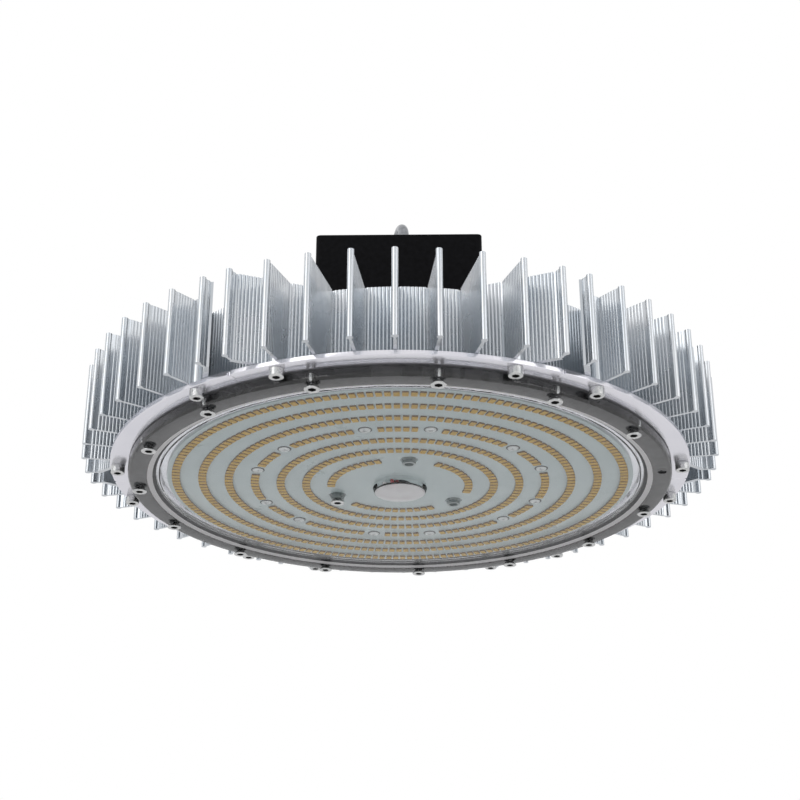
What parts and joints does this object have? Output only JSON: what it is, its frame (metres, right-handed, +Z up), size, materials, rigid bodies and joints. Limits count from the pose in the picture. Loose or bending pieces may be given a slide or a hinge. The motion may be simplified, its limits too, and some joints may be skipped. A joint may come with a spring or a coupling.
{
  "type": "high bay light",
  "caption": "Round LED high bay light with a ring of fluted aluminium fins, a screwed clear cover, a black driver housing and a lifting eye on top.",
  "frame": {"origin": "centre of the underside, level with the faces of the cover screws", "axes": "+Z up towards the lifting eye, -Y the front that the picture shows, +X to the right seen from the front"},
  "size_m": [0.3996, 0.4, 0.1958],
  "materials": {
    "fins": "extruded, clear anodised, satin",
    "plate": "pale semi-gloss coating",
    "seal": "matt black",
    "cover": "clear moulded polycarbonate",
    "board": "pale grey-green solder mask",
    "zinc": "zinc plated",
    "black_steel": "black satin powder coat",
    "driver": "grey coated case",
    "terminal": "cream moulding",
    "red": "PVC insulation",
    "black": "PVC insulation",
    "gland": "black nylon",
    "steel": "polished steel"
  },
  "bodies": {
    "root": {"heatsink_segment_1": "fins", "heatsink_segment_2": "fins", "heatsink_segment_3": "fins", "heatsink_segment_4": "fins", "heatsink_segment_5": "fins", "heatsink_segment_6": "fins", "base_plate": "plate", "gasket": "seal", "lens_cover": "cover", "led_board": "board", "board_screws": "zinc", "lens_screws": "zinc", "centre_screw": "zinc", "cap_screws": "zinc", "standoffs": "zinc", "driver_tray": "black_steel", "tray_screws": "zinc", "driver_housing": "black_steel", "housing_screws": "zinc", "led_driver": "driver", "driver_screws": "zinc", "terminal_block": "terminal", "supply_leads": "black", "lead_red": "red", "lead_black": "black", "gland_body": "gland", "gland_cap": "gland", "gland_nut": "gland", "eye_bolt": "steel", "eye_washer": "zinc", "nut_washer": "zinc", "eye_nut": "zinc"}
  },
  "joints": []
}
